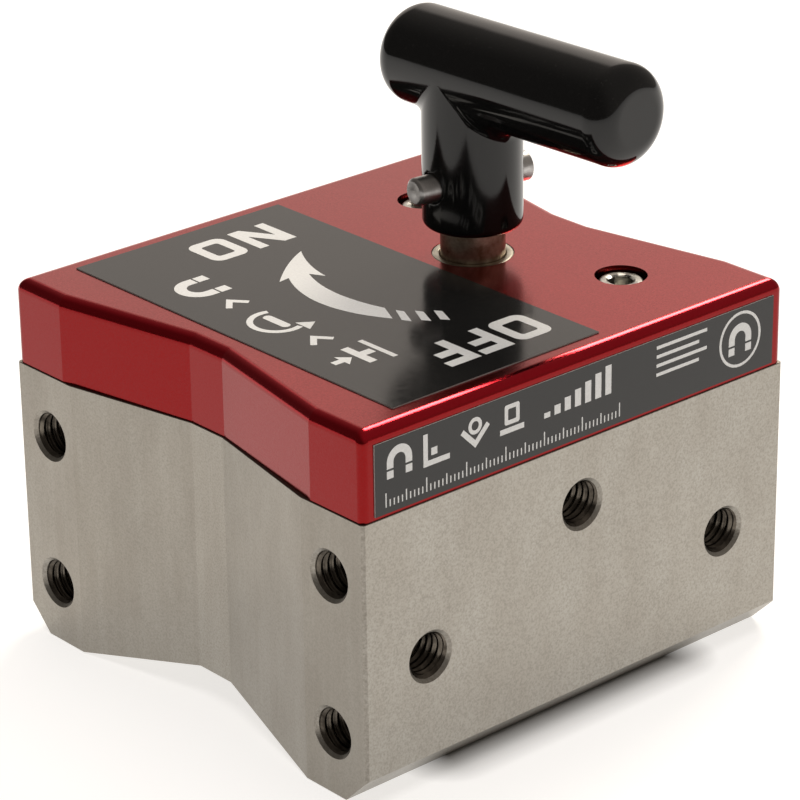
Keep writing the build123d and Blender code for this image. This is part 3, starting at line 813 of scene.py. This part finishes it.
def circle(x, y, radius, steps=40):
    return arc(x, y, radius, 0, 360 - 360 / steps, steps - 1)


def rounded_box(x0, x1, y0, y1, radius):
    corners = ((x1, y0, -90), (x1, y1, 0), (x0, y1, 90), (x0, y0, 180))
    loop = []
    for x, y, start in corners:
        inside_x = x - radius if x == x1 else x + radius
        inside_y = y - radius if y == y1 else y + radius
        loop += arc(inside_x, inside_y, radius, start, start + 90, 6)
    return loop


def stroke(points, width):
    """Outline of a bent line of even width, with mitred corners."""
    sides = ([], [])
    for k, point in enumerate(points):
        here = Vector(point)
        ways = []
        if k > 0:
            ways.append((here - Vector(points[k - 1])).normalized())
        if k < len(points) - 1:
            ways.append((Vector(points[k + 1]) - here).normalized())
        along = sum(ways, Vector((0, 0))).normalized()
        normal = Vector((-along.y, along.x))
        half = width / 2 / max(0.3, normal.dot(Vector((-ways[0].y, ways[0].x))))
        sides[0].append(tuple(here + normal * half))
        sides[1].append(tuple(here - normal * half))
    return sides[0] + sides[1][::-1]


def shifted(loops, x, y, turn=0.0):
    """Outlines turned by an angle in degrees and then moved."""
    c, s = math.cos(math.radians(turn)), math.sin(math.radians(turn))
    return [[(x + c * a - s * b, y + s * a + c * b) for a, b in loop] for loop in loops]


def letter(mark):
    """Outlines of one letter, standing on the origin."""
    width, height, line = LETTER_WIDE[mark], LETTER_HIGH, LETTER_LINE
    if mark == "O":
        inside = rounded_box(line, width - line, line, height - line, 0.7)
        return [rounded_box(0, width, 0, height, 2.3), inside]
    if mark == "N":
        slant, notch = 3.1, 4.0
        return [[
            (0, 0), (line, 0), (line, height - notch), (width - slant, 0), (width, 0), (width, height),
            (width - line, height), (width - line, notch), (slant, height), (0, height),
        ]]
    low, high, arm = (height - line) / 2, (height + line) / 2, width - 1.2
    return [[
        (0, 0), (line, 0), (line, low), (arm, low), (arm, high), (line, high),
        (line, height - line), (width, height - line), (width, height), (0, height),
    ]]


def polar(radius, degrees):
    """Point at this distance from the shaft, at an angle from +X towards +Y."""
    return radius * math.cos(math.radians(degrees)), radius * math.sin(math.radians(degrees))


def bent(first, middle, last, steps=14):
    """Points of a curve through three points."""
    made = []
    for k in range(steps + 1):
        t = k / steps
        weights = ((1 - t) * (1 - 2 * t), 4 * t * (1 - t), t * (2 * t - 1))
        parts = list(zip(weights, (first, middle, last)))
        made.append(tuple(sum(w * p[axis] for w, p in parts) for axis in (0, 1)))
    return made


def turn_arrow():
    """Broad arrow bending round the shaft, swallow-tailed, with three slanted dashes behind it."""
    tip = polar(34.9, 136.8)
    outline = bent(polar(39.2, 203.9), polar(40.9, 181.2), polar(39.5, 158.8))
    outline += bent(polar(41.9, 160.6), polar(37.9, 148.2), tip)
    outline += bent(tip, polar(33.6, 149.5), polar(32.3, 161.8))[1:]
    outline += bent(polar(35.0, 157.8), polar(35.2, 177.0), polar(35.0, 197.8))
    dashes = []
    for k in range(3):
        inner, outer = 35.0 - 1.1 * k, 39.2 - 1.1 * k
        start, lean, wide = 201.8 + 6.0 * k, 4.9 - 0.6 * k, 3.0
        dashes.append([polar(inner, start), polar(inner, start + wide),
                       polar(outer, start + lean + wide), polar(outer, start + lean)])
    return [outline] + dashes


def print_on(name, loops, origin, across, up, material):
    """Thin ink made from closed outlines in millimetres; an outline inside another is a hole."""
    curve = bpy.data.curves.new(name, "CURVE")
    curve.dimensions = "2D"
    curve.fill_mode = "BOTH"
    curve.extrude = INK_T / 2
    for loop in loops:
        spline = curve.splines.new("POLY")
        spline.points.add(len(loop) - 1)
        for point, (x, y) in zip(spline.points, loop):
            point.co = (x, y, 0, 1)
        spline.use_cyclic_u = True
    holder = bpy.data.objects.new(name + "_outline", curve)
    bpy.context.scene.collection.objects.link(holder)
    bpy.context.view_layer.update()
    evaluated = holder.evaluated_get(bpy.context.evaluated_depsgraph_get())
    mesh = bpy.data.meshes.new_from_object(evaluated)
    bpy.data.objects.remove(holder)
    out = across.cross(up)
    place = Matrix((across, up, out)).transposed().to_4x4()
    place.translation = origin + out * (INK_T * 0.35) * MM
    mesh.transform(place @ Matrix.Scale(MM, 4))
    mesh.name = name
    tidy_mesh(mesh, 0.001 * MM, 30)
    return new_piece(name, mesh, "body", material)


def push_icon():
    """A T-handle seen from the side, standing on a block, with an arrow pressing it down."""
    block = [(-5.2, -0.4), (5.2, -0.4), (5.2, 0.8), (-5.2, 0.8)]
    handle = [(-4.3, 4.0), (-4.3, 5.9), (4.3, 5.9), (4.3, 4.0),
              (1.0, 4.0), (1.0, 1.5), (-1.0, 1.5), (-1.0, 4.0)]
    arrow = [(-0.8, 11.4), (0.8, 11.4), (0.8, 9.2), (2.3, 9.2), (0, 6.7), (-2.3, 9.2), (-0.8, 9.2)]
    return [block, handle, arrow]


def turn_icon():
    """A T-handle seen from above with an arrow going round it."""
    bar = rounded_box(-3.6, 3.6, -1.0, 1.0, 0.95)
    band = arc(0, 0, 5.9, -20, 200, 30) + arc(0, 0, 4.6, 200, -20, 30)
    head = [(-7.4, -2.2), (-3.0, -2.2), (-5.2, -5.4)]
    return [bar, band, head]


def top_print(material):
    """Switch marks, the turning arrow round the shaft and a column of pictures."""
    centre = Vector((SHAFT_AXIS.x, SHAFT_AXIS.y, TOP_LABEL_HIGH.z))
    chevron = [stroke([(-1.5, 2.5), (1.5, 0.0), (-1.5, -2.5)], 1.3)]
    letters = (
        (letter("O"), -21.2, 30.7, 0), (letter("N"), -10.0, 30.7, 0), (letter("O"), 4.1, -30.5, 180),
        (letter("F"), -6.7, -30.5, 180), (letter("F"), -15.4, -30.5, 180),
    )
    pictures = (
        (push_icon(), -27.0, -25.0, 90), (chevron, ICON_X, -14.0, 90), (turn_icon(), ICON_X, -1.5, 90),
        (chevron, ICON_X, 11.5, 90), (magnet_icon(9.6), -32.8, 22.5, 90),
    )
    loops = from_middle(letters) + turn_arrow() + from_middle(pictures)
    print_on("top_print", loops, centre, X_WAY, Y_WAY, material)


def from_middle(marks):
    """Outlines set down at X and Y from the block's middle, each turned by its angle in degrees."""
    loops = []
    for outlines, x, y, turn in marks:
        loops += shifted(outlines, x - SHAFT_AXIS.x / MM, y, turn)
    return loops


def magnet_icon(size):
    """Horseshoe magnet with its two poles parted from the bow."""
    r, w = size * 0.5, size * 0.26
    split, foot = -size * 0.18, -size * 0.5
    bow = arc(0, 0, r, 0, 180, 20) + [(-r, split), (-r + w, split)]
    bow += arc(0, 0, r - w, 180, 0, 20) + [(r - w, split), (r, split)]
    poles = []
    for side in (-1, 1):
        x0, x1 = sorted((side * r, side * (r - w)))
        poles.append([(x0, split - 0.45), (x0, foot), (x1, foot), (x1, split - 0.45)])
    return [bow] + poles


def square_icon(size):
    """Right angle with a small square in its corner."""
    h = size / 2
    angle_line = stroke([(-h, h), (-h + 0.01, -h), (h, -h)], ICON_LINE)
    near, far = -h + 1.4, -h + 2.9
    return [angle_line, bar_outline(near, far, near, far)]


def vee_icon(size):
    """Round bar lying in a V."""
    h = size / 2
    vee = stroke([(-h, 0.6), (0, -h + 0.6), (h, 0.6)], ICON_LINE)
    return [vee, circle(0, 1.0, h * 0.52), circle(0, 1.0, h * 0.52 - 0.8)]


def plate_icon(size):
    """Flat plate under a block."""
    h = size / 2
    return [bar_outline(-h, h, -h, -h + ICON_LINE),
            rounded_box(-h * 0.62, h * 0.62, -h + 1.7, h - 0.4, 0.5),
            rounded_box(-h * 0.62 + 0.9, h * 0.62 - 0.9, -h + 2.6, h - 1.3, 0.2)]


def bar_outline(x0, x1, z0, z1):
    """Plain upright box."""
    return [(x0, z0), (x1, z0), (x1, z1), (x0, z1)]


def strength_bars(left, middle):
    """Seven bars growing to the right."""
    return [bar_outline(left + 2.7 * k, left + 2.7 * k + 1.6, middle - 3.0, middle - 1.9 + 0.82 * k)
            for k in range(7)]


def rule_marks(left, bottom):
    """A millimetre rule, with longer marks at each five and ten."""
    loops = []
    for k in range(RULE_MARKS):
        height = 2.9 if k % 10 == 0 else 2.2 if k % 5 == 0 else 1.4
        loops.append(bar_outline(left + k - 0.14, left + k + 0.14, bottom, bottom + height))
    return loops


def text_bars(left, right, top):
    """Four thin bars where small print would be, every second one shorter."""
    return [bar_outline(left, right - 2.2 * (k % 2), top - 1.9 * k, top - 1.9 * k + 0.7) for k in range(4)]


def side_print(material):
    """Pictures of the uses, growing bars, thin bars and a badge over a millimetre rule."""
    low, high = SIDE_LABEL_LOW / MM, SIDE_LABEL_HIGH / MM
    left, right, bottom, top = low.x, high.x, low.z, high.z
    icon_z = top - 4.6
    loops = []
    icons = (magnet_icon(6.2), square_icon(6.0), vee_icon(6.6), plate_icon(6.2))
    for k, icon in enumerate(icons):
        loops += shifted(icon, left + 6.0 + 9.4 * k, icon_z)
    loops += strength_bars(left + 42.5, icon_z)
    loops += rule_marks(left + 2.6, bottom + 1.3)
    badge_x, badge_z = right - 9.5, (bottom + top) / 2 + 0.6
    loops += [circle(badge_x, badge_z, 5.9), circle(badge_x, badge_z, 5.3)]
    loops += shifted(magnet_icon(6.4), badge_x, badge_z + 0.2)
    loops += text_bars(right - 33.0, right - 19.0, icon_z + 2.4)
    origin = Vector((0, SIDE_LABEL_LOW.y, 0))
    print_on("side_print", loops, origin, X_WAY, Z_WAY, material)


# ---- studio ----
def way_to(heading, elevation):
    """Way from the object, its heading in degrees from +Y towards +X and its angle above the floor."""
    a, e = math.radians(heading), math.radians(elevation)
    return Vector((math.sin(a) * math.cos(e), math.cos(a) * math.cos(e), math.sin(e)))


def softbox(name, way, distance, size, radiance, colour):
    """Square area light that far from the object in one way, turned towards it. Lengths are in metres."""
    light = bpy.data.lights.new(name, "AREA")
    light.shape = "RECTANGLE"
    light.size, light.size_y = size, size
    light.energy = radiance * math.pi * size * size
    light.color = colour
    holder = bpy.data.objects.new(name, light)
    bpy.context.scene.collection.objects.link(holder)
    holder.location = way * distance
    holder.rotation_mode = "QUATERNION"
    holder.rotation_quaternion = (Vector(LIGHTS_AIM) - holder.location).to_track_quat("-Z", "Y")
    return holder


def studio_world():
    """Dim surround with one pale reflector low behind the object and a slightly brighter right side."""
    world = bpy.data.worlds.new("studio")
    bpy.context.scene.world = world
    world.use_nodes = True
    nodes, links = world.node_tree.nodes, world.node_tree.links
    background = nodes["Background"]
    background.inputs["Strength"].default_value = 1.0
    place = nodes.new("ShaderNodeTexCoord")

    def towards(way):
        along = nodes.new("ShaderNodeVectorMath")
        along.operation = "DOT_PRODUCT"
        along.inputs[1].default_value = way
        links.new(place.outputs["Generated"], along.inputs[0])
        return along.outputs["Value"]

    def ramp(value, start, end, low, high):
        made = nodes.new("ShaderNodeMapRange")
        made.interpolation_type = "SMOOTHSTEP"
        for socket, number in (("From Min", start), ("From Max", end), ("To Min", low), ("To Max", high)):
            made.inputs[socket].default_value = number
        links.new(value, made.inputs["Value"])
        return made.outputs[0]

    reflector = ramp(towards(way_to(36, 8)), 0.86, 0.93, 0.0, REFLECTOR)
    side = ramp(towards(way_to(110, 30)), -0.3, 0.6, 0.09, 0.26)
    total = nodes.new("ShaderNodeMath")
    total.operation = "ADD"
    links.new(reflector, total.inputs[0])
    links.new(side, total.inputs[1])
    tint = nodes.new("ShaderNodeVectorMath")
    tint.operation = "SCALE"
    tint.inputs[0].default_value = SURROUND_COLOUR
    links.new(total.outputs[0], tint.inputs["Scale"])
    links.new(tint.outputs["Vector"], background.inputs["Color"])


def studio_stage(material):
    half = FLOOR_HALF
    corners = [(-half, -half, 0), (half, -half, 0), (half, half, 0), (-half, half, 0)]
    mesh = mesh_from("floor", corners, [[0, 1, 2, 3]])
    floor = bpy.data.objects.new("floor", mesh)
    bpy.context.scene.collection.objects.link(floor)
    floor.location.z = CAD_BOX[0].z - FLOOR_GAP
    mesh.materials.append(material)


def studio_camera():
    data = bpy.data.cameras.new("camera")
    data.lens = CAMERA_LENS
    data.sensor_width = 36.0
    data.clip_start, data.clip_end = 0.01, 50
    camera = bpy.data.objects.new("camera", data)
    bpy.context.scene.collection.objects.link(camera)
    heading, down, roll = CAMERA_HEADING, CAMERA_DOWN, CAMERA_ROLL
    level = Vector((math.cos(heading), -math.sin(heading), 0))
    ahead = Vector((math.sin(heading) * math.cos(down), math.cos(heading) * math.cos(down), -math.sin(down)))
    above = level.cross(ahead)
    right = level * math.cos(roll) + above * math.sin(roll)
    up = right.cross(ahead)
    turn = Matrix((right, up, -ahead)).transposed().to_4x4()
    turn.translation = CAMERA_AT
    camera.matrix_world = turn
    bpy.context.scene.camera = camera


def studio_lights():
    """A warm key light that leaves the glossy handle out, and a broad weak light overhead."""
    key = softbox("key", way_to(65, 47), 1.9, 0.62, KEY_RADIANCE, KEY_COLOUR)
    keep_off(key, bpy.data.objects["handle_dip"])
    overhead = softbox("overhead", way_to(0, 90), 1.4, 1.4, OVERHEAD_RADIANCE, WARM)
    overhead.visible_glossy = False


def keep_off(light, piece):
    """The light leaves this one piece out."""
    group = bpy.data.collections.new(light.name + "_leaves_out")
    light.light_linking.receiver_collection = group
    group.objects.link(piece)
    group.collection_objects[0].light_linking.link_state = "EXCLUDE"


# ---- build ----
steel = housing_steel()
red = red_anodised()
top_film = label_film("top_film", 2)      # faces along Z
side_film = label_film("side_film", 1)    # faces along Y
ink = label_ink()
vinyl = dipped_vinyl()
plating = plated_magnet()
black_rubber = moulded("seal_rubber", (0.012, 0.012, 0.012), (0.025, 0.025, 0.025), 0.6, 0.5)
screw_steel = turned_metal(
    "screw_steel", shade(200, 199, 194), shade(140, 138, 132), 0.30, (1, 1, 0.6))
gear_steel = turned_metal(
    "gear_steel", shade(170, 168, 164), shade(110, 106, 100), 0.32, (0.5, 0.5, 6))
bush_metal = turned_metal(
    "bush_metal", shade(204, 199, 184), shade(140, 132, 118), 0.33, EVEN_LINES, stain=0.6)
shaft_steel = turned_metal(
    "shaft_steel", shade(226, 214, 196), shade(140, 114, 92), 0.36, (4, 4, 0.5), 0.006, stain=1.0)
pin_steel = turned_metal(
    "pin_steel", shade(204, 202, 200), shade(132, 130, 130), 0.34, (0.35, 3, 3), 0.006, stain=0.6)
# painted shade: the threads' steel is darker than the block's, for the shade inside the tapped holes
shaded_thread_steel = turned_metal(
    "shaded_thread_steel", shade(120, 113, 103), shade(44, 39, 34), 0.25, EVEN_LINES, stain=0.9)
brass = turned_metal(
    "key_brass", (0.60, 0.42, 0.16), (0.36, 0.24, 0.09), 0.28, (1, 1, 4))
aluminium = turned_metal(
    "carrier_aluminium", (0.70, 0.70, 0.71), (0.50, 0.50, 0.52), 0.28, (0.4, 0.4, 5))
spring_wire = turned_metal(
    "spring_wire", (0.30, 0.30, 0.31), (0.16, 0.16, 0.17), 0.34, EVEN_LINES)
thrust_plastic = moulded("thrust_plastic", (0.66, 0.64, 0.58), (0.72, 0.70, 0.64), 0.45, 0.8)

NODE_FINISH = {
    steel: ("housing",),
    red: ("cover",),
    top_film: ("top_label",),
    side_film: ("side_label",),
    vinyl: ("handle_coating",),
    screw_steel: ("cover_screws", "cover_dowels", "lock_plate", "lock_plate_screws", "idler_pin", "lock_pin",
                  "drive_gear_pin", "idler_gear_pin"),
    black_rubber: ("cover_seal", "shaft_seal"),
    bush_metal: ("shaft_bush",),
    plating: ("lower_magnet_right", "lower_magnet_left", "upper_magnet_right", "upper_magnet_left"),
    brass: ("magnet_keys",),
    thrust_plastic: ("thrust_discs",),
    aluminium: ("drive_carrier", "idler_carrier"),
    gear_steel: ("drive_gear", "idler_gear"),
    spring_wire: ("return_spring",),
    shaft_steel: ("shaft", "handle_core"),
    pin_steel: ("handle_pin",),
}
for material, names in NODE_FINISH.items():
    for node in names:
        NODES[node].data.materials.clear()
        NODES[node].data.materials.append(material)

for name, prefix in (("threads_left", "left_end"), ("threads_right", "right_end"),
                     ("threads_front", "front_face"), ("threads_back", "back_face")):
    threads(name, prefix, shaded_thread_steel)
handle_skin(vinyl)
cross_pin(pin_steel)
cap_screws(screw_steel)
bush_ring(bush_metal)
return_coil(spring_wire)
top_print(ink)
side_print(ink)

studio_world()
studio_stage(studio_floor())
studio_lights()
studio_camera()
bpy.context.scene.view_settings.view_transform = "Standard"
